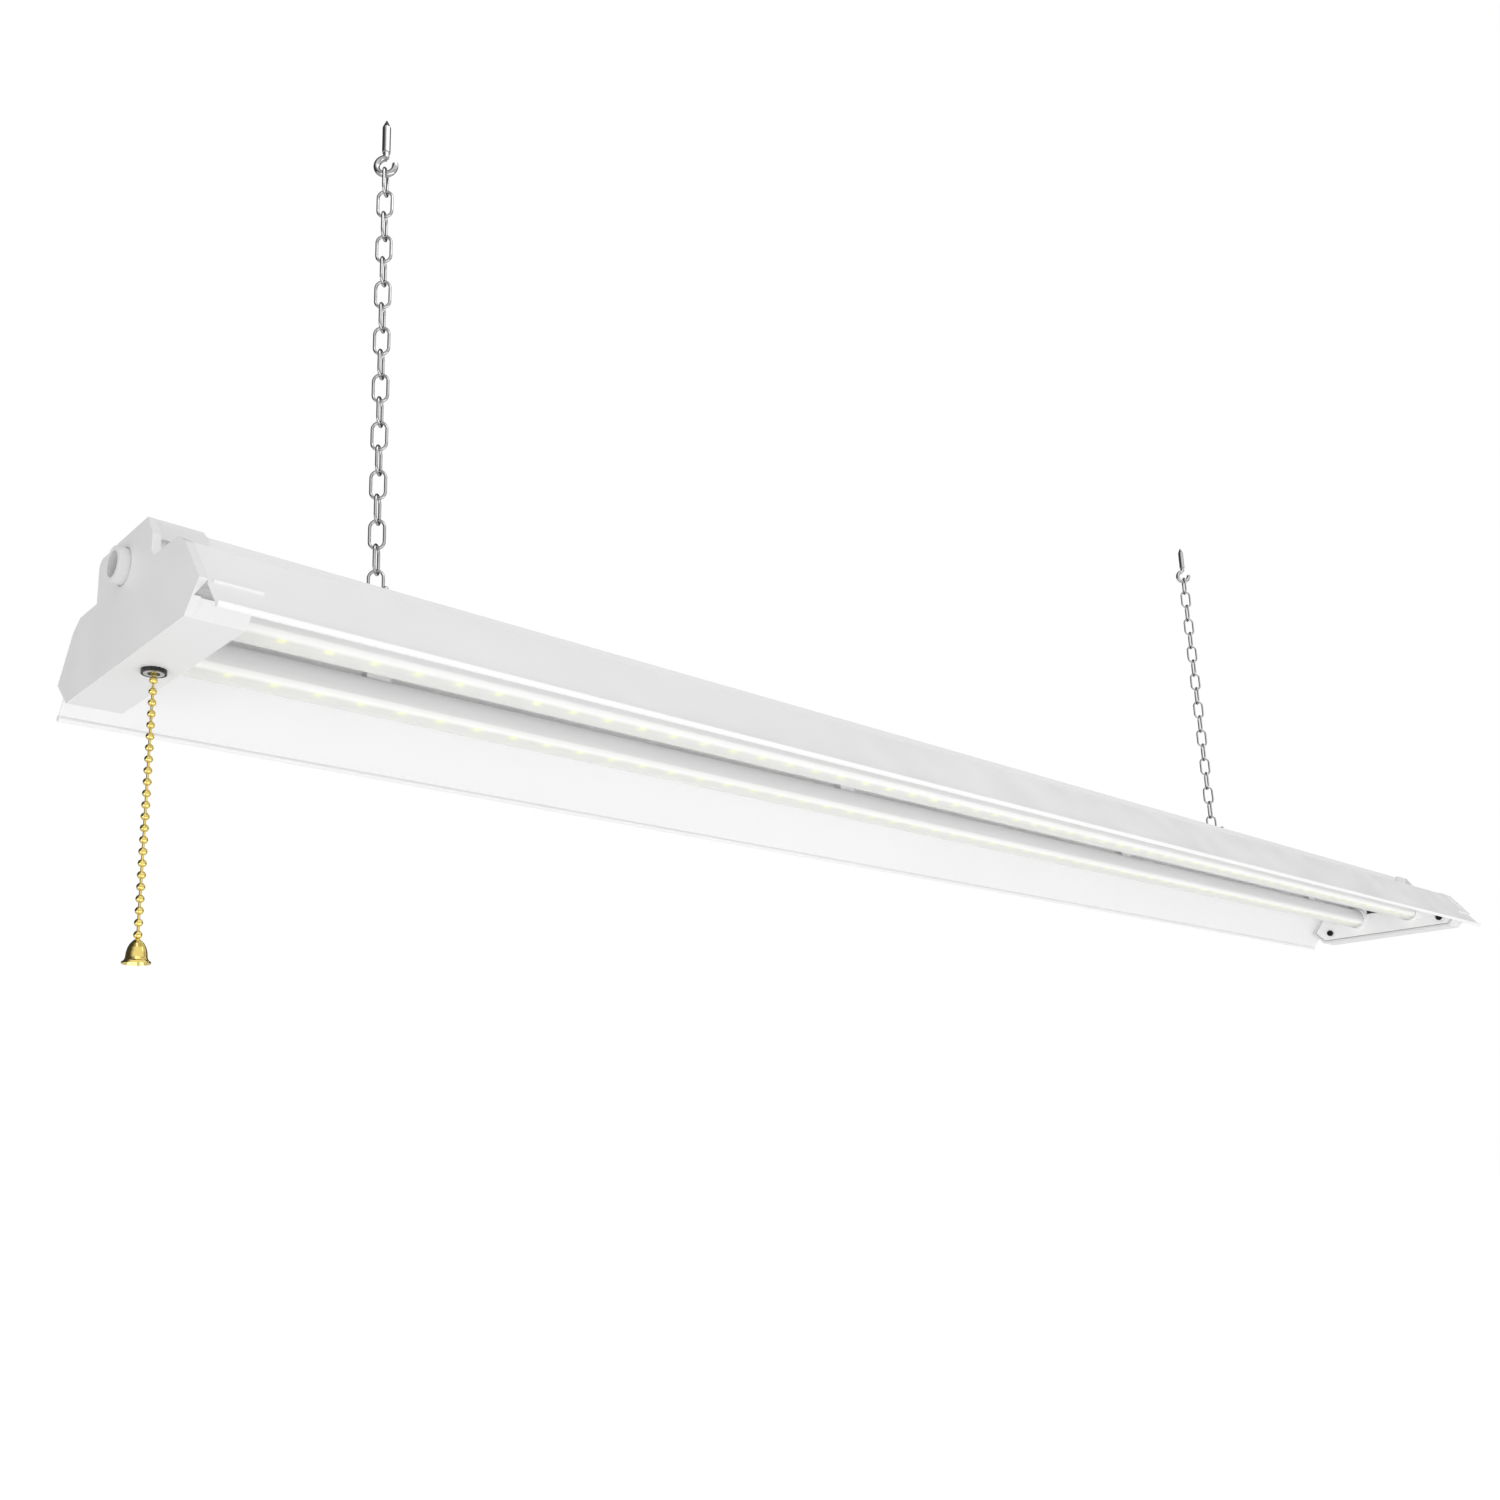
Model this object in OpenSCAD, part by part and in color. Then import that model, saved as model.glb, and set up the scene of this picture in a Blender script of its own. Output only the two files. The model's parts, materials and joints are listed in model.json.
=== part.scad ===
// Hanging shop light: a bent-sheet reflector housing with two LED tubes,
// moulded end caps, a pull-chain switch and two hanging chains.
// The origin is the middle of the housing's flat top. +X runs along the lamp,
// away from the switch end, +Y points to the rear side and +Z is up.
// Sizes are in millimetres.

/* [Housing] */
// Length from end cap face to end cap face
lamp_len = 1210; // [1000:10:2400]
// Width across the reflector lips
lip_w = 162; // [154:1:190]
// Height from the lips to the flat top
house_h = 55.5; // [54:0.5:68]
// Thickness of the sheet steel
sheet_t = 0.8; // [0.6:0.1:1.2]
// Width of the central ridge
ridge_w = 35; // [33:0.5:40]
// Height of the ridge above the shoulders
ridge_h = 22.2; // [22:0.2:26]
// Width across the shoulders
shoulder_w = 111; // [106:1:118]
// Diameter of the rolled hem along each lip
hem_d = 3; // [2.4:0.1:4]

/* [End caps] */
// Depth of an end cap inside the reflector
cap_depth = 23; // [23:0.5:30]
// Thickness of the end plate
face_t = 3.4; // [3:0.1:4.5]
// Wall of the mouldings
wall = 2; // [1.6:0.1:2.4]
// How far the end plate stands proud of the sheet
cap_proud = 1; // [0.6:0.1:3]
// Length of the sleeve over the ridge
sleeve_len = 24; // [22:0.5:34]
// Thickness of the sleeve's sides
sleeve_wall = 2; // [1.6:0.1:3]
// Thickness of the sleeve's top
sleeve_top_t = 0.7; // [0.6:0.1:2]
// Depth of the sleeve's sides below the flat top
sleeve_drop = 7; // [5:0.5:12]
// Chamfer on the sleeve's inner end
sleeve_chamfer = 2.4; // [1:0.1:4]
// Width of the groove around the socket plate
plate_gap = 0.5; // [0.3:0.1:0.8]
// Height of the cap's flat underside above the lips
cap_rise = 2.1; // [1.5:0.1:4]
// Width of the cap's flat underside
cap_flat_w = 119.6; // [112:0.2:122]
// Height of the cap's widest corner above the lips
cap_corner_h = 13.2; // [11:0.1:15]
// Outer diameter of the socket boss
boss_d = 14.8; // [14:0.2:17]
// How far the socket boss stands out of the end plate
boss_len = 4.4; // [4:0.1:8]
// Bore of the socket boss
boss_bore_d = 11; // [10:0.2:11.6]

/* [Tubes] */
// Distance between the two tubes
tube_gap = 50; // [46:1:56]
// Outer diameter of a tube
tube_d = 17; // [16:0.2:19]
// Height of the tube centres above the lips
tube_rise = 21; // [20:0.2:23]
// Depth of the seam between lens and back, below the tube centre
seam_drop = 3.2; // [1:0.1:4]
// Wall of the clear lens and of the aluminium back
tube_wall = 1.2; // [1:0.1:1.5]
// Outer diameter of the collars that hold the tube ends
collar_d = 21; // [20:0.2:21.2]
// LED chips on each strip
led_count = 56; // [40:1:70]
// Side of one LED chip
led_size = 2.8; // [2:0.1:3.5]

/* [Hanging] */
// Distance from a cap face to the outer hanging station
hang_inset = 108; // [80:1:150]
// Distance from mid-length to the inner hanging station
hang_mid = 260; // [200:1:300]
// Distance from the outer hanging station inwards to the flush-mount hole
mount_step = 47; // [30:1:80]
// Diameter of the flush-mount holes
mount_hole_d = 5.5; // [4.5:0.1:7]
// Wire of the hanger bails
bail_wire = 2.4; // [2:0.1:2.8]
// Wire of the chain links
link_wire = 1.4; // [1.2:0.1:1.8]
// Outer length of a chain link
link_len = 15.2; // [14:0.1:18]
// Outer width of a chain link
link_w = 8.2; // [7.8:0.1:10]
// Links in each chain, with the top link
link_count = 18; // [8:1:30]
// Turn of the chain about its own length
chain_turn = 45; // [40:1:50]
// Wire of the ceiling hooks
hook_wire = 3; // [2.8:0.1:3.4]
// Diameter of the hook's round, at the middle of the wire
hook_d = 9; // [8.8:0.1:12]
// Diameter of the hook's screw shank
shank_d = 4; // [3.5:0.1:5]
// Length of the hook's screw shank
shank_len = 14; // [10:1:30]

/* [Pull switch] */
// Distance from the cap face to the pull chain
pull_inset = 13; // [12.5:0.1:14]
// Outer diameter of the ring nut under the cap
nut_d = 9.8; // [9.6:0.1:12]
// Outer diameter of the switch neck
neck_d = 8; // [7.6:0.1:8.4]
// Bore of the switch neck
neck_bore_d = 4.8; // [4.6:0.1:5]
// Diameter of a bead
bead_d = 3.2; // [2.8:0.1:3.4]
// Distance from bead to bead
bead_pitch = 4.6; // [4.2:0.1:5]
// Wire between the beads
bead_wire = 1; // [0.8:0.1:1.2]
// Beads on the hanging part of the pull chain
bead_count = 22; // [10:1:40]
// Diameter of the bell's rim
bell_d = 10.4; // [9:0.1:12]
// Height of the bell
bell_h = 9.4; // [8:0.1:12]

/* [Driver] */
// Length of the driver case
driver_len = 200; // [160:5:240]
// Width of the driver case
driver_w = 24; // [20:0.5:26]
// Height of the driver case
driver_h = 17; // [15:0.5:18]
// Outer diameter of the internal leads
lead_d = 2; // [1.6:0.1:2.2]

/* [Hidden] */
$fn = 48;
// Clearances: seated faces, moving links and links inside one chain
seat_gap = 0.2;
joint_gap = 0.2;
link_gap = 0.1;

// Levels, measured down from the flat top
z_lip = -house_h;
z_shoulder = -ridge_h;
z_ceiling = z_shoulder - sheet_t;
z_pan = z_ceiling - sheet_t;
z_cap = z_lip + cap_rise;
z_corner = z_lip + cap_corner_h;
z_tube = z_lip + tube_rise;
z_seam = z_tube - seam_drop;

// Stations along the lamp
half_len = lamp_len / 2;
sheet_half = half_len - face_t;
plate_x = half_len - cap_depth;
plate_t = 2.5;
station_out = half_len - hang_inset;
station_in = hang_mid;
mount_x = station_out - mount_step;
pull_x = -half_len + pull_inset;

// Slope of the wings, as sideways run for each unit of drop
wing_run = (lip_w - shoulder_w) / 2 / (house_h - ridge_h);
function wing_y(z) = shoulder_w / 2 + (z_shoulder - z) * wing_run;

// Thickness of the wing measured sideways
wing_side_t = sheet_t * sqrt(1 + wing_run * wing_run);

// Socket boss on the end plate, with a groove around it, and the ear beside the ridge
boss_y = 3.2;
boss_z = -12.2;
groove_w = 0.6;
groove_depth = 0.8;
ear_y = 31;
ear_top = 0;
ear_r = 4;

// Tube parts
tube_y = tube_gap / 2;
tube_r = tube_d / 2;
shelf_t = 1.2;
strip_t = 1;
strip_w = 10;
led_h = 0.8;
collar_len = 4;
collar_in = tube_d + 2 * seat_gap;
tube_end = plate_x + 1;
plug_t = 1.5;

// Screws
screw_d = 3;
screw_head_d = 5.6;
screw_head_h = 1.8;
cap_screw_len = 4;
plate_screw_y = 52;
plate_screw_z = z_lip + 11;

// Hanging parts
bail_span = 18;
swing_room = 1.3;
bar_z = swing_room + link_wire + joint_gap + bail_wire / 2;
link_run = link_len - link_wire;
pitch = link_len - 2 * link_wire - link_gap;
chain_foot = bar_z - bail_wire / 2 - joint_gap - link_wire / 2;
top_link_foot = chain_foot + (link_count - 1) * pitch - (joint_gap - link_gap);
hook_gap = 0.25;
hook_foot = top_link_foot + link_run - link_wire / 2 - hook_gap - hook_wire / 2;
hook_r = hook_d / 2;
shank_foot = hook_foot + hook_d + 3;

// Pull switch
switch_foot = z_cap + wall;
switch_size = [14, 28, 20];
switch_wall = 1.5;
nut_h = 1.6;
lever_arm = 9;
lever_t = 1.6;
lever_z = switch_foot + 11;
pin_d = 2;
knuckle_z = z_cap - nut_h - 2.6;
pull_foot = knuckle_z - bead_pitch;

// Driver and leads
case_t = 0.8;
driver_x = -30;
tab_len = 12;
driver_screw_x = (driver_len + tab_len) / 2;
lead_lane = lead_d + 1;
lead_entry = 2;
bend_reach = 2.5;
bend_steps = 3;
ring_sides = 8;
lead_y = ridge_w / 2 - sheet_t - lead_lane / 2 - 0.3;
lead_z = z_ceiling + lead_lane / 2 + 0.2;

// ---------- helpers ----------

// Sweeps a Y-Z outline along +X
module along_x(len) rotate([90, 0, 90]) linear_extrude(len) children();

// Round bar along X, Y or Z, starting at the origin
module bar_x(d, len) rotate([0, 90, 0]) cylinder(d = d, h = len);
module bar_y(d, len) rotate([-90, 0, 0]) cylinder(d = d, h = len);

// A block given by its middle in X and Y, and its foot in Z
module block(size) translate([-size[0] / 2, -size[1] / 2, 0]) cube(size);

// The same pieces at both ends of the lamp
module both_ends() {
    children();
    mirror([1, 0, 0]) children();
}

// The same pieces on the front and rear sides
module both_sides() {
    children();
    mirror([0, 1, 0]) children();
}

function unit(v) = v / norm(v);
function left_of(v) = [-v[1], v[0]];
function corner(p, q, r, t) =
    let (a = left_of(unit(q - p)), b = left_of(unit(r - q)))
    q + t * (a + b) / (1 + a * b);

// The path moved t to its left, with mitred corners
function beside(path, t) = [
    for (i = [0 : len(path) - 1])
        i == 0 ? path[0] + t * left_of(unit(path[1] - path[0]))
        : i == len(path) - 1 ? path[i] + t * left_of(unit(path[i] - path[i - 1]))
        : corner(path[i - 1], path[i], path[i + 1], t)
];
function reversed(list) = [for (i = [len(list) - 1 : -1 : 0]) list[i]];
function mirrored(path) = reversed([for (p = path) [-p[0], p[1]]]);
function strip(path, t) = concat(path, reversed(beside(path, t)));

// ---------- housing ----------

// Outer bend line from the rear lip over the ridge to the front lip
bend_rear = [
    [wing_y(z_lip + hem_d / 2), z_lip + hem_d / 2],
    [shoulder_w / 2, z_shoulder],
    [ridge_w / 2, z_shoulder],
    [ridge_w / 2, 0]
];
bend_line = concat(bend_rear, mirrored(bend_rear));

module hanger_holes(x) {
    hole_d = bail_wire + 2 * seat_gap;
    for (y = [-1, 1] * bail_span / 2)
        translate([x, y, -sheet_t - 1]) cylinder(d = hole_d, h = sheet_t + 2);
}

module housing() color("white") {
    rib_z = z_corner;
    rib_d = 1.6;
    rib_len = 19;
    difference() {
        union() {
            translate([-sheet_half, 0, 0]) along_x(2 * sheet_half) polygon(strip(bend_line, sheet_t));
            both_sides() {
                translate([-sheet_half, lip_w / 2 - hem_d / 2, z_lip + hem_d / 2]) bar_x(hem_d, 2 * sheet_half);
                both_ends() translate([-sheet_half + 2, wing_y(rib_z), rib_z]) bar_x(rib_d, rib_len);
            }
        }
        both_ends() {
            hanger_holes(station_out);
            hanger_holes(station_in);
            translate([mount_x, 0, -sheet_t - 1]) cylinder(d = mount_hole_d, h = sheet_t + 2);
            translate([half_len - sleeve_len / 2, 0, -sheet_t - 1]) cylinder(d = screw_d, h = sheet_t + 2);
        }
    }
}

module bottom_pan() color("white") {
    pan_half = plate_x - seat_gap;
    pan_w = shoulder_w - 2 * wing_side_t - 1;
    difference() {
        translate([-pan_half, -pan_w / 2, z_pan]) cube([2 * pan_half, pan_w, sheet_t]);
        for (x = [-1, 1] * driver_screw_x)
            translate([driver_x + x, 0, z_pan - 1]) cylinder(d = screw_d, h = sheet_t + 2);
    }
}

// ---------- end caps ----------

// Front half of the end plate: underside, wing, brow over the shoulder, cheek beside the ridge
z_brow = z_shoulder + 3.5;
brow_inset = 6;
cheek_y = ridge_w / 2 + sleeve_wall + 5.7;
cheek_top = -8;
cheek_corner = 3;
plate_front = [
    [-cap_flat_w / 2, z_cap],
    [-wing_y(z_corner) - cap_proud, z_corner],
    [-wing_y(z_shoulder - 1) - cap_proud, z_shoulder - 1],
    [-shoulder_w / 2 + brow_inset, z_brow],
    [-cheek_y - cheek_corner, z_brow],
    [-cheek_y, z_brow + cheek_corner],
    [-cheek_y, cheek_top],
    [-ridge_w / 2 - sleeve_wall, sleeve_top_t]
];

// Skirt inside the reflector, from the underside to the shoulders
skirt_top = z_ceiling - seat_gap;
function skirt_y(z) = wing_y(z) - wing_side_t - seat_gap;
skirt_rear = [
    [cap_flat_w / 2, z_cap],
    [skirt_y(z_corner), z_corner],
    [skirt_y(skirt_top), skirt_top]
];
skirt = concat(skirt_rear, mirrored(skirt_rear));
function inside(ring, t) =
    let (n = len(ring))
    [for (i = [0 : n - 1]) corner(ring[(i + n - 1) % n], ring[i], ring[(i + 1) % n], t)];

// Rounded ear that widens the end plate beside the ridge on the rear side
module ear_outline(grow) {
    translate([ridge_w / 2 - 2, z_shoulder + seat_gap])
        square([ear_y - ridge_w / 2 + 2 - grow, ear_top - ear_r - z_shoulder - seat_gap]);
    translate([ridge_w / 2 - 2, z_shoulder + seat_gap])
        square([ear_y - ear_r - ridge_w / 2 + 2, ear_top - z_shoulder - seat_gap - grow]);
    translate([ear_y - ear_r, ear_top - ear_r]) circle(r = ear_r - grow);
}

// Pocket in the lower corner of the skirt, just behind the end plate
pocket_len = 10;
pocket_drop = 5;
pocket_y = cap_flat_w / 2 + 3;
pocket_side = [
    [-half_len + 0.6, z_corner - pocket_drop],
    [-sheet_half, z_corner],
    [-sheet_half + pocket_len, z_corner],
    [-sheet_half + pocket_len, z_corner - pocket_drop]
];
module pocket_walls() intersection() {
    translate([-sheet_half, 0, 0]) along_x(pocket_len + wall) polygon(skirt);
    both_sides() translate([-sheet_half, pocket_y - wall, z_corner - pocket_drop - wall])
        cube([pocket_len + wall, lip_w, pocket_drop + 2 * wall]);
}
module pocket() both_sides() translate([0, pocket_y + lip_w, 0])
    rotate([90, 0, 0]) linear_extrude(lip_w) polygon(pocket_side);

// The cap at the near end; the far one is its mirror image
module end_cap() {
    screw_post_d = 7;
    difference() {
        union() {
            translate([-half_len, 0, 0]) along_x(face_t) {
                polygon(concat(plate_front, mirrored(plate_front)));
                ear_outline(0);
            }
            // Skirt from the end plate to the face of the socket plate
            translate([-sheet_half, 0, 0]) along_x(sheet_half - plate_x) difference() {
                polygon(skirt);
                polygon(inside(skirt, wall));
            }
            // Sleeve over the ridge
            translate([-sheet_half, 0, 0]) along_x(sleeve_len - face_t) difference() {
                translate([-ridge_w / 2 - sleeve_wall, -sleeve_drop])
                    square([ridge_w + 2 * sleeve_wall, sleeve_drop + sleeve_top_t]);
                translate([-ridge_w / 2, z_shoulder]) square([ridge_w, ridge_h]);
            }
            // Hollow ear
            difference() {
                translate([-sheet_half, 0, 0]) along_x(sheet_half - plate_x) ear_outline(0);
                translate([-sheet_half - 1, 0, 0]) along_x(sheet_half - plate_x + 1 - wall) ear_outline(wall);
                translate([-sheet_half - 1, 0, z_shoulder - 1]) cube([cap_depth + 2, ridge_w / 2, ridge_h + 2]);
            }
            // Socket boss
            translate([-half_len - boss_len, boss_y, boss_z]) bar_x(boss_d, boss_len + 1);
            // Posts for the socket plate's screws
            both_sides() translate([-sheet_half, plate_screw_y, plate_screw_z])
                bar_x(screw_post_d, sheet_half - plate_x - plate_t);
            pocket_walls();
        }
        pocket();
        translate([-half_len + sleeve_len, 0, sleeve_top_t]) rotate([0, 45, 0])
            cube([sleeve_chamfer * sqrt(2), 2 * ridge_w, sleeve_chamfer * sqrt(2)], center = true);
        // Bore of the boss and the groove around it
        translate([-half_len - boss_len - 1, boss_y, boss_z]) bar_x(boss_bore_d, boss_len + face_t + 2);
        translate([-half_len - 1, boss_y, boss_z]) difference() {
            bar_x(boss_d + 2 * groove_w, groove_depth + 1);
            bar_x(boss_d, groove_depth + 1);
        }
        both_sides() translate([-half_len + face_t + 1, plate_screw_y, plate_screw_z])
            bar_x(screw_d, cap_depth);
        translate([-half_len + sleeve_len / 2, 0, -1]) cylinder(d = screw_d, h = sleeve_top_t + 2);
        // Window for the leads between the skirt and the ridge
        translate([-sheet_half, -ridge_w / 2 + 3, skirt_top - wall - 1])
            cube([sheet_half - plate_x, ridge_w - 6, wall + 2]);
    }
}

module end_cap_near() color("whitesmoke") difference() {
    end_cap();
    translate([pull_x, 0, z_cap - 1]) cylinder(d = neck_d + 2 * seat_gap, h = wall + 2);
}
module end_cap_far() color("whitesmoke") mirror([1, 0, 0]) end_cap();

// Plate that closes an end cap and holds the tube ends in its collars
module socket_plate() color("whitesmoke") {
    outline = inside(skirt, wall + plate_gap);
    difference() {
        union() {
            translate([-plate_x - plate_t, 0, 0]) along_x(plate_t) polygon(outline);
            both_sides() translate([-plate_x, tube_y, z_tube]) bar_x(collar_d, collar_len);
        }
        both_sides() {
            translate([-plate_x - plate_t - 1, tube_y, z_tube]) bar_x(collar_in, collar_len + plate_t + 2);
            translate([-plate_x - plate_t - 1, plate_screw_y, plate_screw_z]) bar_x(screw_d + 0.4, plate_t + 2);
        }
        translate([-plate_x - plate_t - 1, -ridge_w / 2 + 3, skirt_top - wall - 6])
            cube([plate_t + 2, ridge_w - 6, wall + 10]);
    }
}
module socket_plate_near() socket_plate();
module socket_plate_far() mirror([1, 0, 0]) socket_plate();

// Pan-head screw with a cross recess; the head's seat is at the origin, the shank points down
module screw(d, head_d, head_h, shank) {
    slot = head_h * 0.5;
    difference() {
        cylinder(d = head_d, h = head_h);
        for (a = [0, 90]) rotate([0, 0, a])
            translate([-head_d * 0.3, -slot / 2, head_h - slot]) cube([head_d * 0.6, slot, slot + 1]);
    }
    translate([0, 0, -shank]) cylinder(d = d, h = shank + 0.1);
}

module plate_screws() color("silver") both_ends() both_sides()
    translate([-plate_x, plate_screw_y, plate_screw_z]) rotate([0, 90, 0])
        screw(screw_d - 0.2, screw_head_d, screw_head_h, 12);

module cap_screws() color("silver") both_ends()
    translate([half_len - sleeve_len / 2, 0, sleeve_top_t])
        screw(screw_d - 0.2, screw_head_d, screw_head_h, cap_screw_len);

// ---------- sockets in the end caps ----------

insert_len = 14;
insert_d = 13;

// Insulating insert behind the near boss, with slots for two blade contacts
module link_outlet() color("dimgray") difference() {
    translate([-sheet_half, boss_y, boss_z]) bar_x(insert_d, insert_len);
    for (y = [-1, 1] * 2.5)
        translate([-sheet_half - 1, boss_y + y - 0.8, boss_z - 2.5]) cube([insert_len - 2, 1.6, 5]);
}

module outlet_contacts() color("goldenrod") for (y = [-1, 1] * 2.5)
    translate([-sheet_half + 3, boss_y + y - 0.3, boss_z - 2.5]) cube([insert_len - 6, 0.6, 5]);

// Insulating insert behind the far boss, with two wells for round pins
pin_well_d = 4;
inlet_pin_d = 1.6;
inlet_pin_y = 2.8;
module power_inlet() color("dimgray") difference() {
    translate([sheet_half - insert_len, boss_y, boss_z]) bar_x(insert_d, insert_len);
    for (y = [-1, 1] * inlet_pin_y)
        translate([sheet_half - insert_len + 3, boss_y + y, boss_z]) bar_x(pin_well_d, insert_len);
}

module inlet_pins() color("silver") for (y = [-1, 1] * inlet_pin_y)
    translate([sheet_half - insert_len + 3, boss_y + y, boss_z]) bar_x(inlet_pin_d, insert_len - 4);

// ---------- tubes ----------

module tube_shell(d) translate([-tube_end, 0, z_tube]) bar_x(d, 2 * tube_end);

// Aluminium back: the tube above the seam, with the shelf that carries the strip
module heat_sink() color("silver") {
    slab = [2 * tube_end + 2, tube_d + 2, tube_d];
    inner_r = tube_r - tube_wall;
    shelf_w = 2 * sqrt(inner_r * inner_r - seam_drop * seam_drop) + 0.6;
    difference() {
        tube_shell(tube_d);
        tube_shell(2 * inner_r);
        translate([0, 0, z_seam - slab[2]]) block(slab);
    }
    translate([0, 0, z_seam]) block([2 * tube_end, shelf_w, shelf_t]);
}

module led_strip() color("white")
    translate([0, 0, z_seam - strip_t]) block([2 * tube_end - 4, strip_w, strip_t]);

led_pitch = 2 * tube_end / led_count;
module leds() color("khaki") for (i = [0 : led_count - 1])
    translate([(i + 0.5) * led_pitch - tube_end, 0, z_seam - strip_t - led_h])
        block([led_size, led_size, led_h]);

// Clear lens: the part of the tube under the seam
module lens() color("aliceblue") {
    slab = [2 * tube_end + 2, tube_d + 2, tube_d];
    difference() {
        tube_shell(tube_d);
        tube_shell(tube_d - 2 * tube_wall);
        translate([0, 0, z_seam]) block(slab);
    }
}

module heat_sink_front() translate([0, -tube_y, 0]) heat_sink();
module heat_sink_rear() translate([0, tube_y, 0]) heat_sink();
module led_strip_front() translate([0, -tube_y, 0]) led_strip();
module led_strip_rear() translate([0, tube_y, 0]) led_strip();
module leds_front() translate([0, -tube_y, 0]) leds();
module leds_rear() translate([0, tube_y, 0]) leds();
module lens_front() translate([0, -tube_y, 0]) lens();
module lens_rear() translate([0, tube_y, 0]) lens();

module tube_plugs() color("white") both_ends() both_sides()
    translate([tube_end, tube_y, z_tube]) bar_x(tube_d, plug_t);

// Saddles that stand the tubes off the pan
saddle_count = 4;
saddle_len = 12;
saddle_w = 6;
saddle_inset = 100;
module tube_saddles() color("white") {
    span = 2 * (plate_x - saddle_inset);
    for (i = [0 : saddle_count - 1]) both_sides()
        translate([span * (i / (saddle_count - 1) - 0.5), tube_y, 0]) difference() {
            translate([0, 0, z_tube + 2]) block([saddle_len, saddle_w, z_pan - z_tube - 2]);
            translate([-saddle_len, 0, z_tube]) bar_x(tube_d + 0.1, 2 * saddle_len);
        }
}

// ---------- driver ----------

board_rise = 3;
board_t = 1.6;
board_w = driver_w - 2 * case_t - 1;
board_top = z_ceiling + case_t + board_rise + board_t;
driver_lead_z = board_top + 2;
post_x = driver_len / 2 - 10;

module driver_screw_spots() for (x = [-1, 1] * driver_screw_x)
    translate([driver_x + x, 0, z_ceiling]) children();

module driver_case() color("lightgray") difference() {
    translate([driver_x, 0, z_ceiling]) union() {
        difference() {
            block([driver_len, driver_w, driver_h - case_t]);
            translate([0, 0, case_t])
                block([driver_len - 2 * case_t, driver_w - 2 * case_t, driver_h]);
        }
        for (x = [-1, 1] * (driver_len + tab_len - 1) / 2)
            translate([x, 0, 0]) block([tab_len + 1, driver_w - 4, case_t]);
        for (x = [-1, 1] * post_x, y = [-1, 1] * (board_w / 2 - 3))
            translate([x, y, case_t / 2]) cylinder(d = 4, h = board_rise + case_t / 2);
    }
    driver_screw_spots() translate([0, 0, -1]) cylinder(d = screw_d + 0.4, h = case_t + 2);
    // Slot for the leads at the near end
    translate([driver_x - driver_len / 2, 0, driver_lead_z]) cube([4 * case_t, 18, 5], center = true);
}

ground_x = driver_x - driver_len / 2 + 20;
ground_shank = 2;

module driver_lid() color("lightgray") difference() {
    translate([driver_x, 0, z_ceiling + driver_h - case_t]) block([driver_len, driver_w, case_t]);
    translate([ground_x, 0, z_ceiling + driver_h - case_t - 1]) cylinder(d = screw_d + 0.2, h = case_t + 2);
}

module driver_board() color("seagreen")
    translate([driver_x, 0, board_top - board_t]) block([driver_len - 8, board_w, board_t]);

// Transformer, choke, capacitors and a rectifier on the board
transformer_len = 26;
choke_len = 16;
choke_w = 12;
choke_x = -48;
capacitor_d = 9;
capacitor_x = 30;
capacitor_step = 14;
spare_capacitor_x = -78;
rectifier_len = 10;
rectifier_h = 4;
rectifier_x = 66;
module driver_parts() color("dimgray") translate([driver_x, 0, board_top]) {
    part_room = z_ceiling + driver_h - case_t - board_top - 1;
    block([transformer_len, board_w - 4, part_room]);
    translate([choke_x, 0, 0]) block([choke_len, choke_w, part_room - 1]);
    for (x = [spare_capacitor_x, capacitor_x, capacitor_x + capacitor_step])
        translate([x, 0, 0]) cylinder(d = capacitor_d, h = part_room - 0.5);
    translate([rectifier_x, 0, 0]) block([rectifier_len, choke_w, rectifier_h]);
}

module driver_screws() color("silver") driver_screw_spots() translate([0, 0, case_t])
    screw(screw_d - 0.2, screw_head_d, screw_head_h, case_t + sheet_t);

// Terminal block on the pan, near the switch end
terminal_x = -half_len + 58;
terminal_size = [18, 16, 9];
terminal_z = z_ceiling + 3.5;
module terminal_block() color("ivory") difference() {
    translate([terminal_x, 0, z_ceiling]) block(terminal_size);
    for (y = [-5, 0, 5]) translate([terminal_x - 10, y, terminal_z]) bar_x(2.6, 20);
    for (x = [-4, 4], y = [-5, 0, 5])
        translate([terminal_x + x, y, z_ceiling + 6]) cylinder(d = 3, h = 4);
}

module ground_screw() color("mediumseagreen")
    translate([ground_x, 0, z_ceiling + driver_h]) screw(screw_d, screw_head_d, screw_head_h, ground_shank);

// A route with each of its corners rounded
function rounded(route) = [
    route[0],
    for (i = [1 : 1 : len(route) - 2])
        let (corner = route[i])
        let (start = corner + bend_reach * unit(route[i - 1] - corner))
        let (end = corner + bend_reach * unit(route[i + 1] - corner))
        for (k = [0 : bend_steps])
            let (s = k / bend_steps)
            (1 - s) * (1 - s) * start + 2 * s * (1 - s) * corner + s * s * end,
    route[len(route) - 1]
];

function heading(path, i) = unit(path[min(i + 1, len(path) - 1)] - path[max(i - 1, 0)]);

// A direction square to the path, carried along it without twist
function side_at(path, i) =
    let (ahead = heading(path, i))
    let (side = i == 0 ? cross(ahead, [0.2, 0.3, 1]) : side_at(path, i - 1))
    unit(side - (side * ahead) * ahead);

function lead_ring(path, i) =
    let (side = side_at(path, i), across = cross(side, heading(path, i)))
    [for (k = [0 : ring_sides - 1])
        let (turn = 360 * k / ring_sides)
        path[i] + lead_d / 2 * (cos(turn) * side + sin(turn) * across)];

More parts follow.
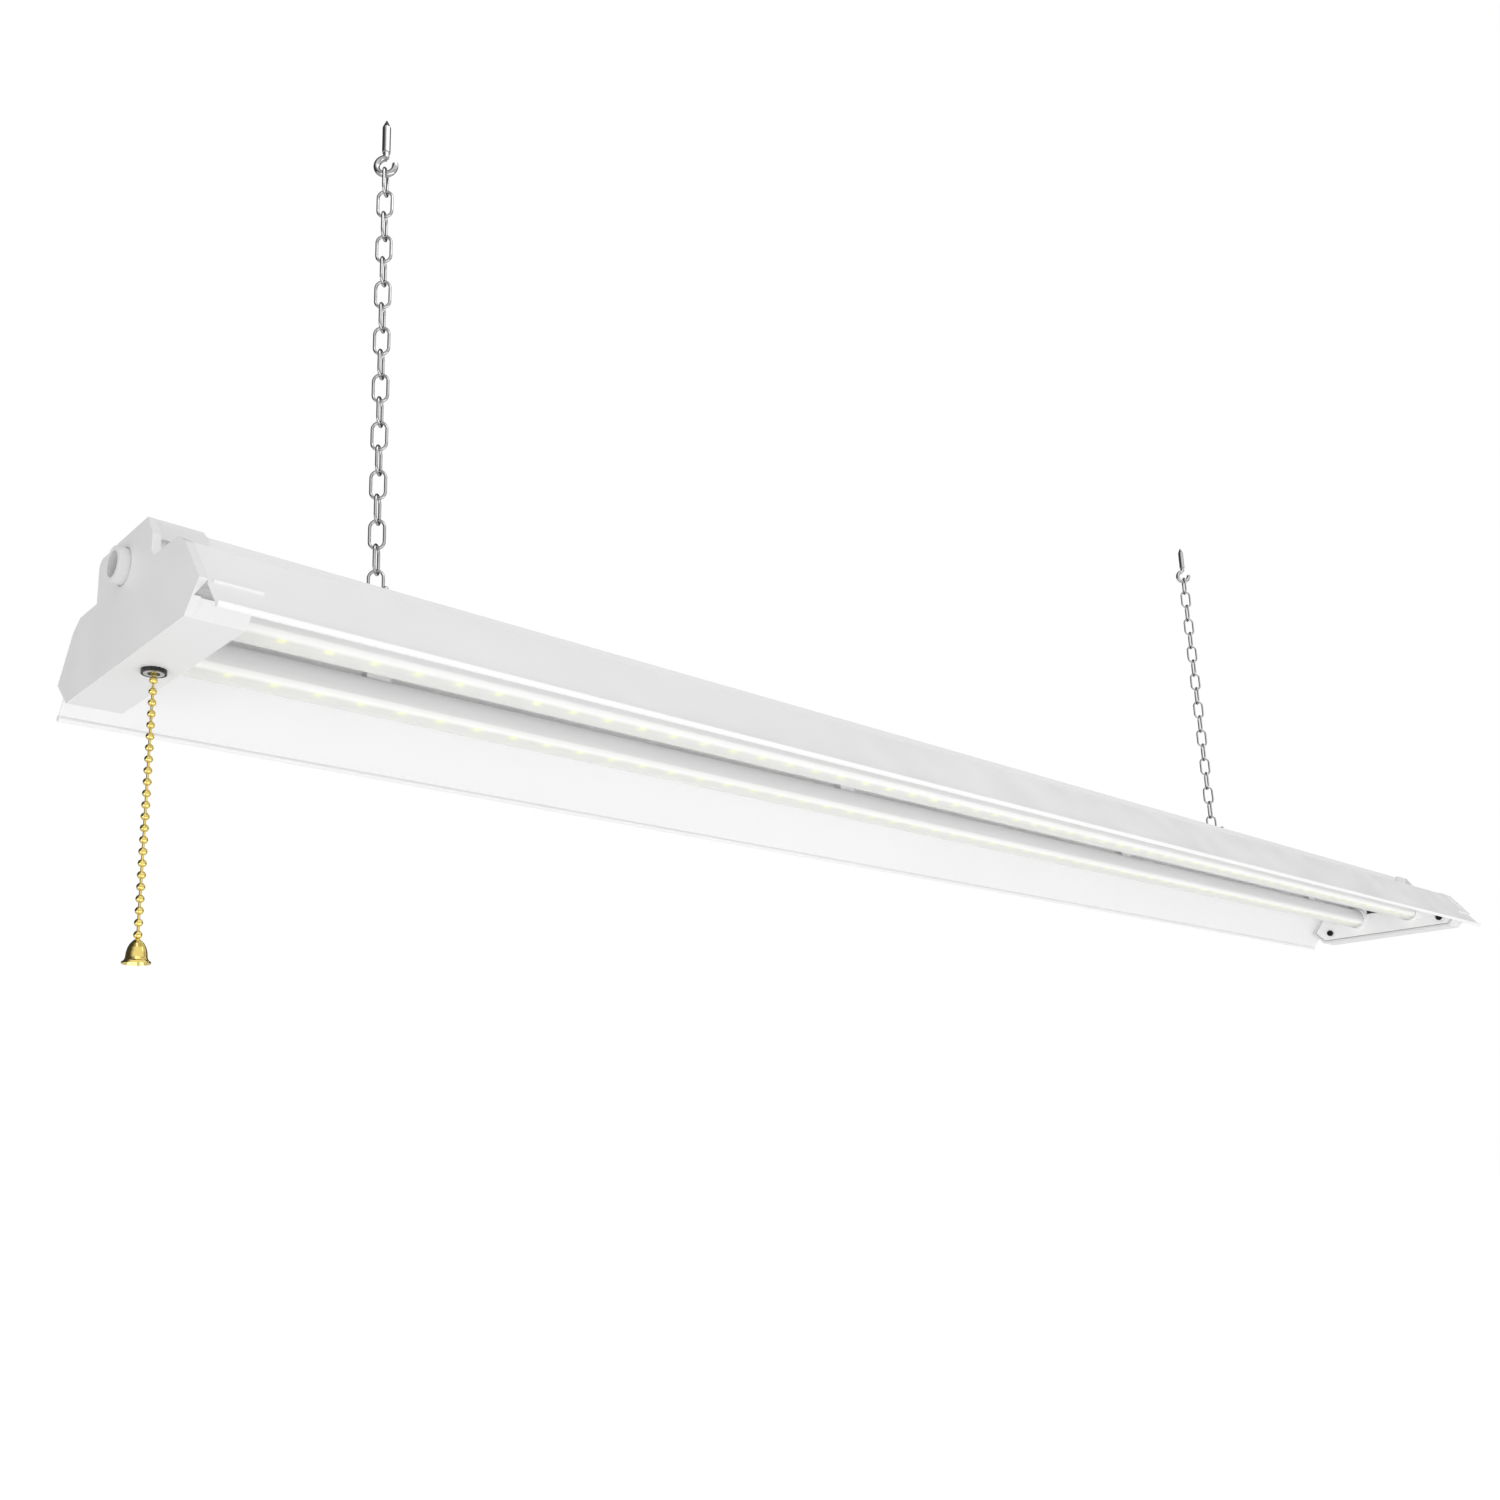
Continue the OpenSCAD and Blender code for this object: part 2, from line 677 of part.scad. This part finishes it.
// A closed tube through rings that have ring_sides points each
module tube(rings) {
    last_ring = ring_sides * (len(rings) - 1);
    walls = [
        for (a = [0 : ring_sides : last_ring - 1], k = [0 : ring_sides - 1])
            let (b = a + ring_sides, next = (k + 1) % ring_sides)
            [a + k, a + next, b + next, b + k]
    ];
    start_face = [for (k = [ring_sides - 1 : -1 : 0]) k];
    end_face = [for (k = [0 : ring_sides - 1]) last_ring + k];
    polyhedron([for (ring = rings) each ring], concat(walls, [start_face, end_face]), convexity = 8);
}

// An insulated lead through the corners of its route
module lead(route) {
    path = rounded(route);
    tube([for (i = [0 : len(path) - 1]) lead_ring(path, i)]);
}

function lead_level(i) = lead_z + i * (lead_lane + 0.2);

// Supply leads along the rear wall of the ridge, the outlet's leads and the driver's input lead
module mains_leads() color("black") {
    block_half = terminal_size[0] / 2;
    block_end = terminal_x + block_half;
    for (side = [0, 1]) {
        socket_y = boss_y + 3 - 6 * side;
        turn_x = plate_x - 12 - 6 * side;
        lead([
            [sheet_half - insert_len, socket_y, boss_z], [turn_x, socket_y, boss_z],
            [turn_x - 14, lead_y, lead_level(side)], [block_end + 16 + 5 * side, lead_y, lead_level(side)],
            [block_end, 5 - 5 * side, terminal_z]
        ]);
        lead([
            [-sheet_half + insert_len, socket_y, boss_z], [-sheet_half + insert_len + 8, socket_y, boss_z],
            [terminal_x - block_half, 5 - 5 * side, terminal_z]
        ]);
    }
    lead([
        [block_end, -5, terminal_z], [block_end + 20, -lead_y, lead_level(2)],
        [driver_x - driver_len / 2 - 16, -lead_y, lead_level(2)],
        [driver_x - driver_len / 2 + lead_entry, -6, driver_lead_z]
    ]);
}

// Leads from the driver, along the front wall of the ridge, to the near end of each strip
module led_leads() color("red") for (side = [0, 1]) {
    y = tube_y * (2 * side - 1);
    drop_x = -plate_x - plate_t - 4;
    drop_y = 22 * side - 11;
    driver_end = driver_x - driver_len / 2;
    lead([
        [driver_end + lead_entry, 4 * side - 2, driver_lead_z],
        [driver_end - 30 - 6 * side, -lead_y, lead_level(side)],
        [-plate_x + 12, -lead_y, lead_level(side)], [drop_x, drop_y, lead_z],
        [drop_x, drop_y, z_ceiling - 5], [drop_x, y, z_seam], [-tube_end - plug_t, y, z_seam]
    ]);
}

// ---------- pull switch ----------

switch_half = switch_size[0] / 2;
pin_y = -lever_arm;

module switch_body() color("ivory") difference() {
    union() {
        difference() {
            translate([pull_x, 0, switch_foot]) block(switch_size);
            translate([pull_x - switch_half + switch_wall, -switch_size[1] / 2 + switch_wall,
                switch_foot + switch_wall])
                cube([switch_size[0], switch_size[1] - 2 * switch_wall, switch_size[2] - 2 * switch_wall]);
        }
        // Hinge pin of the lever
        translate([pull_x - switch_half, pin_y, lever_z]) bar_x(pin_d, switch_size[0] - switch_wall - 0.4);
    }
    // The lid takes the open side
    translate([pull_x + switch_half - switch_wall, -switch_size[1], switch_foot - 1])
        cube([switch_wall + 1, 2 * switch_size[1], switch_size[2] + 2]);
    translate([pull_x, 0, switch_foot - 1]) cylinder(d = neck_d + 2 * seat_gap, h = switch_wall + 2);
}

module switch_lid() color("ivory")
    translate([pull_x + switch_half - switch_wall / 2, 0, switch_foot])
        block([switch_wall, switch_size[1], switch_size[2]]);

// Threaded neck: it passes through the cap and the nut holds it from below
module switch_neck() color("silver") difference() {
    union() {
        translate([pull_x, 0, z_cap - nut_h]) cylinder(d = neck_d, h = nut_h + wall + switch_wall + 1);
        translate([pull_x, 0, switch_foot + switch_wall]) cylinder(d = neck_d + 1, h = 1);
    }
    translate([pull_x, 0, z_cap - nut_h - 1]) cylinder(d = neck_bore_d, h = 12);
}

module switch_nut() color("dimgray") difference() {
    translate([pull_x, 0, z_cap - nut_h]) cylinder(d = nut_d, h = nut_h);
    translate([pull_x, 0, z_cap - nut_h - 1]) cylinder(d = neck_d + 0.1, h = nut_h + 2);
    translate([pull_x, 0, z_cap - nut_h - 0.01]) cylinder(d1 = nut_d - 1, d2 = neck_d, h = 0.8);
}

// Forked lever: the stem's top bead rests on the fork
lever_w = 5;
module switch_lever() color("orange") difference() {
    union() {
        translate([pull_x - lever_w / 2, pin_y, lever_z]) bar_x(pin_d + 1.6, lever_w);
        translate([pull_x - lever_w / 2, pin_y, lever_z - lever_t / 2])
            cube([lever_w, lever_arm + 2.5, lever_t]);
    }
    translate([pull_x - lever_w, pin_y, lever_z]) bar_x(pin_d + 0.1, 2 * lever_w);
    translate([pull_x - 0.9, -2.6, lever_z - lever_t]) cube([1.8, 6, 2 * lever_t]);
}

// Return spring under the lever
spring_r = 1.2;
spring_wire = 0.4;
spring_turns = 5;
spring_y = pin_y + 2.95;
spring_foot = switch_foot + switch_wall;
spring_len = lever_z - lever_t / 2 - 0.3 - spring_foot;
turn_steps = 14;

function coil_point(a) = [
    spring_r * cos(a), spring_r * sin(a),
    spring_wire / 2 + (spring_len - spring_wire) * a / 360 / spring_turns
];
function coil_ring(a) = [
    for (k = [0 : ring_sides - 1])
        let (b = 360 * k / ring_sides, out = [cos(a), sin(a), 0])
        coil_point(a) + spring_wire / 2 * (cos(b) * out + sin(b) * [0, 0, 1])
];

module switch_spring() color("silver")
    translate([pull_x, spring_y, spring_foot])
    tube([for (i = [0 : spring_turns * turn_steps]) coil_ring(360 * i / turn_steps)]);

// ---------- pull chain ----------

stem_low = knuckle_z + bead_pitch;
stem_top = lever_z + lever_t / 2 + 0.3 + bead_d / 2;
bead_gap = 0.3;
last_bead = pull_foot - (bead_count - 1) * bead_pitch;

module bead(z) translate([pull_x, 0, z]) sphere(d = bead_d);
module bead_link(low, high) translate([pull_x, 0, low]) cylinder(d = bead_wire, h = high - low, $fn = 24);

module pull_stem() color("gold") {
    bead(stem_top);
    bead(stem_low + bead_pitch);
    bead(stem_low);
    bead_link(stem_low, stem_top);
}

module pull_knuckle() color("gold") {
    bead(knuckle_z);
    bead_link(knuckle_z, stem_low - bead_d / 2 - bead_gap);
}

module pull_chain() color("gold") {
    for (i = [0 : bead_count - 1]) bead(pull_foot - i * bead_pitch);
    bead_link(last_bead - bead_d / 2, knuckle_z - bead_d / 2 - bead_gap);
}

// Turned bell with a shallow dish under its rim
module pull_bell() color("gold") {
    rim_r = bell_d / 2;
    dish = 1.2;
    translate([pull_x, 0, last_bead - bead_d / 2 - bell_h]) rotate_extrude() polygon([
        [0, bell_h], [0.7, bell_h], [rim_r * 0.3, bell_h * 0.93], [rim_r * 0.5, bell_h * 0.8],
        [rim_r * 0.64, bell_h * 0.64], [rim_r * 0.72, bell_h * 0.46], [rim_r * 0.76, bell_h * 0.24],
        [rim_r * 0.84, bell_h * 0.14], [rim_r, bell_h * 0.07], [rim_r, 0],
        [rim_r - 0.6, 0], [rim_r - 1, dish], [0, dish]
    ]);
}

// ---------- hanging parts ----------

// Wire bail through two holes in the ridge, with feet under the sheet
module hanger(x) color("silver") {
    foot_z = -sheet_t - bail_wire / 2 - 0.05;
    foot_len = 4;
    translate([x, 0, 0]) {
        translate([0, -bail_span / 2, bar_z]) bar_y(bail_wire, bail_span);
        both_sides() {
            translate([0, bail_span / 2, foot_z]) cylinder(d = bail_wire, h = bar_z - foot_z);
            translate([0, bail_span / 2, bar_z]) sphere(d = bail_wire);
            translate([0, bail_span / 2, foot_z]) sphere(d = bail_wire);
            translate([0, bail_span / 2, foot_z]) bar_y(bail_wire, foot_len);
        }
    }
}

// Oval wire link in the X-Z plane; its lower bend's wire is at the origin
module link() {
    bend_r = (link_w - link_wire) / 2;
    straight = link_run - 2 * bend_r;
    translate([0, 0, bend_r]) {
        for (side = [0, 1]) translate([0, 0, side * straight]) rotate([90, side * 180 + 180, 0])
            rotate_extrude(angle = 180) translate([bend_r, 0]) circle(d = link_wire, $fn = 24);
        for (x = [-1, 1] * bend_r) translate([x, 0, 0]) cylinder(d = link_wire, h = straight, $fn = 24);
    }
}

// Link number i, counted up from the lamp
module placed_link(i, foot) rotate([0, 0, i % 2 == 0 ? -chain_turn : 90 - chain_turn])
    translate([0, 0, foot]) link();

module chain(x) color("dimgray") translate([x, 0, 0])
    for (i = [0 : link_count - 2]) placed_link(i, chain_foot + i * pitch);

module top_link(x) color("dimgray") translate([x, 0, 0]) placed_link(link_count - 1, top_link_foot);

// Open screw hook; its plane stands across the top link
module ceiling_hook(x) color("dimgray")
    translate([x, 0, 0]) rotate([0, 0, link_count % 2 == 0 ? -chain_turn : 90 - chain_turn]) {
        translate([0, 0, hook_foot + hook_r]) rotate([90, 0, 0]) rotate([0, 0, 90])
            rotate_extrude(angle = 280) translate([hook_r, 0]) circle(d = hook_wire, $fn = 32);
        translate([0, 0, hook_foot + hook_d]) cylinder(d = hook_wire, h = shank_foot - hook_foot - hook_d);
        translate([0, 0, shank_foot]) cylinder(d = shank_d, h = shank_len);
        translate([0, 0, shank_foot + shank_len]) cylinder(d1 = shank_d, d2 = 0.6, h = 4);
    }

module hanger_left() hanger(-station_out);
module hanger_right() hanger(station_in);
module chain_left() chain(-station_out);
module chain_right() chain(station_in);
module top_link_left() top_link(-station_out);
module top_link_right() top_link(station_in);
module ceiling_hook_left() ceiling_hook(-station_out);
module ceiling_hook_right() ceiling_hook(station_in);

housing();
bottom_pan();
end_cap_near();
end_cap_far();
socket_plate_near();
socket_plate_far();
plate_screws();
cap_screws();
link_outlet();
outlet_contacts();
power_inlet();
inlet_pins();
heat_sink_front();
heat_sink_rear();
led_strip_front();
led_strip_rear();
leds_front();
leds_rear();
lens_front();
lens_rear();
tube_plugs();
tube_saddles();
driver_case();
driver_lid();
driver_board();
driver_parts();
driver_screws();
terminal_block();
ground_screw();
mains_leads();
led_leads();
switch_body();
switch_lid();
switch_neck();
switch_nut();
switch_lever();
switch_spring();
pull_stem();
pull_knuckle();
pull_chain();
pull_bell();
hanger_left();
hanger_right();
chain_left();
chain_right();
top_link_left();
top_link_right();
ceiling_hook_left();
ceiling_hook_right();
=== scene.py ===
import json
import math

import bpy
from mathutils import Matrix, Vector

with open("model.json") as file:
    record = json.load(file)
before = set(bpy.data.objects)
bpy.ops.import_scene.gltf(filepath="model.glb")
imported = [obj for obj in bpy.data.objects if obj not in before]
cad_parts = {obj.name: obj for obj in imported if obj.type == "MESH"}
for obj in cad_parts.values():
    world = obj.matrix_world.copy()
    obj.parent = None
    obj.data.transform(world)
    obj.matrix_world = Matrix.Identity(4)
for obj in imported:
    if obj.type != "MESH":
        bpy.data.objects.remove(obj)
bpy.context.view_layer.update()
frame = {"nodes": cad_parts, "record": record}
NODES = frame["nodes"]

# ---------- driving values: lengths in metres, angles in degrees, powers in watts ----------

# Camera, fitted to the straight edges in the photograph
PHOTO_PX = 1500
FOCAL_PX = 1401.05
CENTRE_PX = (750, 850)
YAW = 45.66
PITCH = 13.0
ROLL = -2.2
EYE = (-0.78915, -0.53295, -0.25494)
SENSOR_MM = 36
NEAREST = 0.01
FARTHEST = 100

# Lens: opacity and painted glow of its clear underside and of its milky sides; the sides' extra
# whiteness and glow are a painted highlight
CLEAR_OPACITY = 0.5
SIDE_HIGHLIGHT_OPACITY = 0.7
UNDERSIDE_PAINTED_GLOW = 0.03
SIDE_HIGHLIGHT_GLOW = 0.1
# Z of the surface normal where the underside ends and where the sides are fully milky and carry the
# full painted highlight
UNDERSIDE_END = -0.8
HIGHLIGHT_FULL_FROM = -0.66
CHIP_GLOW = 0.9

# Floor, and the even light around the object
FLOOR_Z = -1.1
FLOOR_HALF = 40
FLOOR_LIFT = 0.5
AMBIENT = 0.84
# Brightness that gloss mirrors from the front and from the back, and the Y of the
# directions where each is reached
FRONT_GLOSS = 1.1
BACK_GLOSS = 0.06
FRONT_Y = -0.75
BACK_Y = 0.1

# Soft lamps: place, aim, width and height, power
LAMPS = {
    "key": ((0.2, -1.0, -1.0), (0.2, 0, -0.03), (2.8, 0.7), 12.8),
    "end": ((-2.4, -0.5, -0.75), (0.2, 0, -0.03), (1.2, 0.7), 6.5),
    "fill": ((0.2, -1.1, 1.4), (0.2, 0, -0.03), (2.8, 0.7), 9.5),
}

# ---------- camera ----------


def make_camera():
    data = bpy.data.cameras.new("camera")
    cam = bpy.data.objects.new("camera", data)
    bpy.context.scene.collection.objects.link(cam)
    yaw, pitch, roll = (math.radians(angle) for angle in (YAW, PITCH, ROLL))
    ahead = Vector((math.cos(pitch) * math.cos(yaw), math.cos(pitch) * math.sin(yaw), math.sin(pitch)))
    level = Vector((math.sin(yaw), -math.cos(yaw), 0))
    upright = level.cross(ahead)
    right = math.cos(roll) * level + math.sin(roll) * upright
    up = math.cos(roll) * upright - math.sin(roll) * level
    turn = Matrix((right, up, -ahead)).transposed().to_4x4()
    cam.matrix_world = Matrix.Translation(EYE) @ turn
    data.sensor_width = SENSOR_MM
    data.lens = FOCAL_PX * SENSOR_MM / PHOTO_PX
    data.shift_x = (PHOTO_PX / 2 - CENTRE_PX[0]) / PHOTO_PX
    data.shift_y = (CENTRE_PX[1] - PHOTO_PX / 2) / PHOTO_PX
    data.clip_start = NEAREST
    data.clip_end = FARTHEST
    data.dof.use_dof = False
    bpy.context.scene.camera = cam


# ---------- short calls for node trees ----------

# Places of the two mixed values among a mix node's inputs, and of the mixed colour
# among its outputs
NUMBER_A = 2
NUMBER_B = 3
COLOUR_A = 6
COLOUR_B = 7
COLOUR_OUT = 2

# The middle of a noise's range, and the whole of a share's
MIDDLE = (0.3, 0.7)
WHOLE = (0, 1)


def grey(level):
    return (level, level, level)


def tinted(colour, share):
    return tuple(channel * share for channel in colour)


def feed(tree, socket, value):
    """Link an output to the socket, or set the socket's own value."""
    if isinstance(value, bpy.types.NodeSocket):
        tree.links.new(value, socket)
    else:
        socket.default_value = value


def add_node(tree, kind, inputs=(), **props):
    node = tree.nodes.new(kind)
    for key, value in props.items():
        setattr(node, key, value)
    for key, value in dict(inputs).items():
        feed(tree, node.inputs[key], value)
    return node


class Look:
    """A material built round one Principled shader."""

    def __init__(self, name, rough, metal=0.0, **sockets):
        self.mat = bpy.data.materials.new(name)
        self.mat.use_nodes = True
        self.tree = self.mat.node_tree
        self.shader = self.tree.nodes["Principled BSDF"]
        self.set("Roughness", rough)
        self.set("Metallic", metal)
        for key, value in sockets.items():
            self.set(key.replace("_", " "), value)
        self.coordinates = self.add("ShaderNodeTexCoord").outputs

    def set(self, socket, value):
        feed(self.tree, self.shader.inputs[socket], value)

    def add(self, kind, inputs=(), **props):
        return add_node(self.tree, kind, inputs, **props)

    def stretched(self, scale):
        inputs = {"Vector": self.coordinates["Object"], "Scale": scale}
        return self.add("ShaderNodeMapping", inputs).outputs["Vector"]

    def noise(self, scale, detail, vector=None):
        inputs = {"Vector": vector or self.coordinates["Object"], "Scale": scale, "Detail": detail}
        return self.add("ShaderNodeTexNoise", inputs).outputs["Fac"]

    def ramp(self, value, low, high, between=MIDDLE):
        """Grey that goes from low to high while the value crosses the given range."""
        node = self.add("ShaderNodeValToRGB", {"Fac": value})
        for end, place, level in zip(node.color_ramp.elements, between, (low, high)):
            end.position = place
            end.color = (*grey(level), 1)
        return node.outputs["Color"]

    def colour(self, value, first, second, between=MIDDLE):
        """Base colour that goes from the first to the second with the value."""
        share = self.ramp(value, 0, 1, between)
        inputs = {0: share, COLOUR_A: (*first, 1), COLOUR_B: (*second, 1)}
        mixed = self.add("ShaderNodeMix", inputs, data_type="RGBA")
        self.set("Base Color", mixed.outputs[COLOUR_OUT])

    def glow(self, colour, strength):
        self.set("Emission Color", (*colour, 1))
        self.set("Emission Strength", strength)

    def bump(self, height, depth, strength):
        inputs = {"Height": height, "Distance": depth, "Strength": strength}
        self.set("Normal", self.add("ShaderNodeBump", inputs).outputs["Normal"])


# ---------- materials ----------


def paint(name, colour, rough):
    """Powder coat: slight clouding, uneven gloss and a faint orange peel."""
    cloud_scale = 7
    cloud_shade = 0.975
    gloss_scale = 30
    smoother = 0.05
    rougher = 0.08
    peel_scale = 900
    peel_depth = 0.00004
    look = Look(name, rough, Coat_Weight=0.15, Coat_Roughness=0.25)
    look.colour(look.noise(cloud_scale, detail=5), tinted(colour, cloud_shade), colour)
    gloss = look.noise(gloss_scale, detail=6)
    look.set("Roughness", look.ramp(gloss, rough - smoother, rough + rougher))
    look.bump(look.noise(peel_scale, detail=2), peel_depth, strength=0.5)
    return look.mat


def moulded(name, colour, rough):
    """Moulded plastic: slight flow marks, uneven gloss and a fine spark grain."""
    flow_scale = 14
    flow_stretch = (1, 1, 0.25)
    flow_shade = 0.97
    gloss_scale = 60
    smoother = 0.04
    rougher = 0.06
    grain_scale = 1500
    grain_depth = 0.00003
    look = Look(name, rough)
    flow = look.noise(flow_scale, detail=3, vector=look.stretched(flow_stretch))
    look.colour(flow, tinted(colour, flow_shade), colour)
    gloss = look.noise(gloss_scale, detail=4)
    look.set("Roughness", look.ramp(gloss, rough - smoother, rough + rougher))
    look.bump(look.noise(grain_scale, detail=2), grain_depth, strength=0.6)
    return look.mat


def metal(name, colour, rough, patch_shade=0.85):
    """Plain or plated metal: darker patches and a fine grain in gloss and surface."""
    patch_scale = 90
    patch_range = (0.35, 0.65)
    grain_scale = 400
    grain_depth = 0.00003
    smoothest = 0.75
    roughest = 1.4
    look = Look(name, rough, metal=1.0)
    patches = look.noise(patch_scale, detail=4)
    look.colour(patches, tinted(colour, patch_shade), colour, patch_range)
    grain = look.noise(grain_scale, detail=4)
    look.set("Roughness", look.ramp(grain, rough * smoothest, rough * roughest))
    look.bump(grain, grain_depth, strength=0.5)
    return look.mat


def clear_plastic(name):
    """Drawn clear plastic, milky, with a painted highlight that makes it whiter and more opaque on the
    sides next to the strip, and a painted glow, faint below and stronger on the sides.
    """
    streak_scale = 160
    streak_stretch = (0.02, 1, 1)
    streak_depth = 0.00002
    streak_colours = ((0.93, 0.935, 0.93), (0.95, 0.95, 0.945))
    gloss_scale = 40
    smoothest = 0.14
    roughest = 0.26
    look = Look(name, rough=0.22, Specular_IOR_Level=0.06)
    # Painted highlight: the more the normal faces sideways, the whiter, more opaque and
    # brighter-glowing the lens
    normal = look.add("ShaderNodeSeparateXYZ", {0: look.coordinates["Normal"]})
    limits = {"From Min": UNDERSIDE_END, "From Max": HIGHLIGHT_FULL_FROM}
    painted_highlight = look.add("ShaderNodeMapRange", {"Value": normal.outputs["Z"], **limits}).outputs[0]
    streaks = look.noise(streak_scale, detail=3, vector=look.stretched(streak_stretch))
    look.colour(streaks, *streak_colours)
    look.set("Alpha", look.ramp(painted_highlight, CLEAR_OPACITY, SIDE_HIGHLIGHT_OPACITY, WHOLE))
    # Painted glow: the lens is no lamp; the glow is strongest on the sides, as part of the painted
    # highlight
    look.glow((1, 1, 0.97), look.ramp(painted_highlight, UNDERSIDE_PAINTED_GLOW, SIDE_HIGHLIGHT_GLOW, WHOLE))
    look.set("Roughness", look.ramp(look.noise(gloss_scale, detail=4), smoothest, roughest))
    look.bump(streaks, streak_depth, strength=0.4)
    return look.mat


def phosphor(name):
    """LED chip: grainy pale yellow phosphor with a faint glow."""
    fleck_scale = 2500
    fleck_depth = 0.00002
    fleck_colours = ((0.8, 0.84, 0.02), (0.92, 0.95, 0.06))
    look = Look(name, rough=0.6)
    flecks = look.noise(fleck_scale, detail=3)
    look.colour(flecks, *fleck_colours)
    look.glow((0.95, 1.0, 0.02), CHIP_GLOW)
    look.bump(flecks, fleck_depth, strength=0.5)
    return look.mat


# Kind of surface, then its colour, its roughness and, for some metals, the patches' shade
LOOKS = {
    "white_paint": (paint, grey(0.84), 0.35),
    "white_plastic": (moulded, grey(0.76), 0.4),
    # Whiter copy of white_plastic for the socket plates: painted light against the reflector's shade
    "plate_plastic": (moulded, grey(0.93), 0.4),
    "zinc": (metal, (0.62, 0.62, 0.61), 0.32),
    "black_screw": (metal, grey(0.03), 0.4),
    "zinc_sheet": (metal, (0.6, 0.61, 0.62), 0.4, 0.7),
    "dark_plastic": (moulded, (0.045, 0.045, 0.047), 0.5),
    "ivory_plastic": (moulded, (0.8, 0.77, 0.66), 0.4),
    "brass": (metal, (0.78, 0.56, 0.22), 0.25),
    "tube_aluminium": (paint, grey(0.72), 0.4),
    "strip_white": (moulded, (0.9, 0.9, 0.88), 0.5),
    "clear_lens": (clear_plastic,),
    "board": (moulded, (0.03, 0.16, 0.06), 0.45),
    "green_zinc": (metal, (0.12, 0.4, 0.18), 0.35),
    "lead_black": (moulded, grey(0.03), 0.45),
    "lead_red": (moulded, (0.5, 0.04, 0.03), 0.45),
    "nut_steel": (metal, grey(0.05), 0.25),
    "bead_brass": (metal, (0.82, 0.64, 0.2), 0.12, 0.9),
    "chain_steel": (metal, grey(0.5), 0.16),
    "led_light": (phosphor,),
}
MATERIALS = {name: make(name, *values) for name, (make, *values) in LOOKS.items()}

# The plates at the tube ends get a whiter copy of the cap plastic: painted light, making up for the
# shade deep in the reflector
SLOT_OF = {part["node"]: part["material_slot"] for part in frame["record"]["subparts"]}
SLOT_OF.update(socket_plate_near="plate_plastic", socket_plate_far="plate_plastic")


def dress(obj, slot_name):
    obj.data.materials.clear()
    obj.data.materials.append(MATERIALS[slot_name])


for node_name, node in NODES.items():
    dress(node, SLOT_OF[node_name])

# ---------- floor, backdrop and light ----------


def floor_white():
    """Pale floor, lifted to white for the camera, that keeps the object's shadow."""
    patch_scale = 3
    look = Look("floor_white", rough=0.9)
    look.colour(look.noise(patch_scale, detail=4), grey(0.88), grey(0.9))
    path = look.add("ShaderNodeLightPath")
    inputs = {0: path.outputs["Is Camera Ray"], 1: FLOOR_LIFT}
    lift = look.add("ShaderNodeMath", inputs, operation="MULTIPLY")
    look.glow(grey(1), lift.outputs[0])
    return look.mat


def make_floor():
    mesh = bpy.data.meshes.new("floor")
    signs = ((-1, -1), (1, -1), (1, 1), (-1, 1))
    corners = [(x * FLOOR_HALF, y * FLOOR_HALF, 0) for x, y in signs]
    mesh.from_pydata(corners, [], [(0, 1, 2, 3)])
    floor = bpy.data.objects.new("floor", mesh)
    floor.location.z = FLOOR_Z
    mesh.materials.append(floor_white())
    bpy.context.scene.collection.objects.link(floor)


def make_world():
    """White to the camera, an even soft light, and a bright front with a dark back for gloss."""
    world = bpy.data.worlds.new("studio")
    bpy.context.scene.world = world
    world.use_nodes = True
    tree = world.node_tree
    path = add_node(tree, "ShaderNodeLightPath")
    place = add_node(tree, "ShaderNodeTexCoord").outputs["Generated"]
    direction = add_node(tree, "ShaderNodeSeparateXYZ", {0: place})
    inputs = {
        "Value": direction.outputs["Y"],
        "From Min": BACK_Y,
        "From Max": FRONT_Y,
        "To Min": BACK_GLOSS,
        "To Max": FRONT_GLOSS,
    }
    gloss = add_node(tree, "ShaderNodeMapRange", inputs, interpolation_type="SMOOTHSTEP")

    def choose(ray, otherwise, then):
        inputs = {0: path.outputs[ray], NUMBER_A: otherwise, NUMBER_B: then}
        return add_node(tree, "ShaderNodeMix", inputs).outputs[0]

    level = choose("Is Glossy Ray", AMBIENT, gloss.outputs[0])
    level = choose("Is Transmission Ray", level, 1.0)
    level = choose("Is Camera Ray", level, 1.0)
    back = tree.nodes["Background"]
    back.inputs["Color"].default_value = (1, 1, 1, 1)
    tree.links.new(level, back.inputs["Strength"])


def make_lamp(name, place, aim, size, power):
    data = bpy.data.lights.new(name, "AREA")
    data.shape = "RECTANGLE"
    data.size, data.size_y = size
    data.energy = power
    lamp = bpy.data.objects.new(name, data)
    lamp.location = place
    lamp.rotation_euler = (Vector(aim) - Vector(place)).to_track_quat("-Z", "Y").to_euler()
    lamp.visible_camera = False
    bpy.context.scene.collection.objects.link(lamp)


make_camera()
make_floor()
make_world()
for lamp_name, values in LAMPS.items():
    make_lamp(lamp_name, *values)
bpy.context.scene.view_settings.view_transform = "Standard"
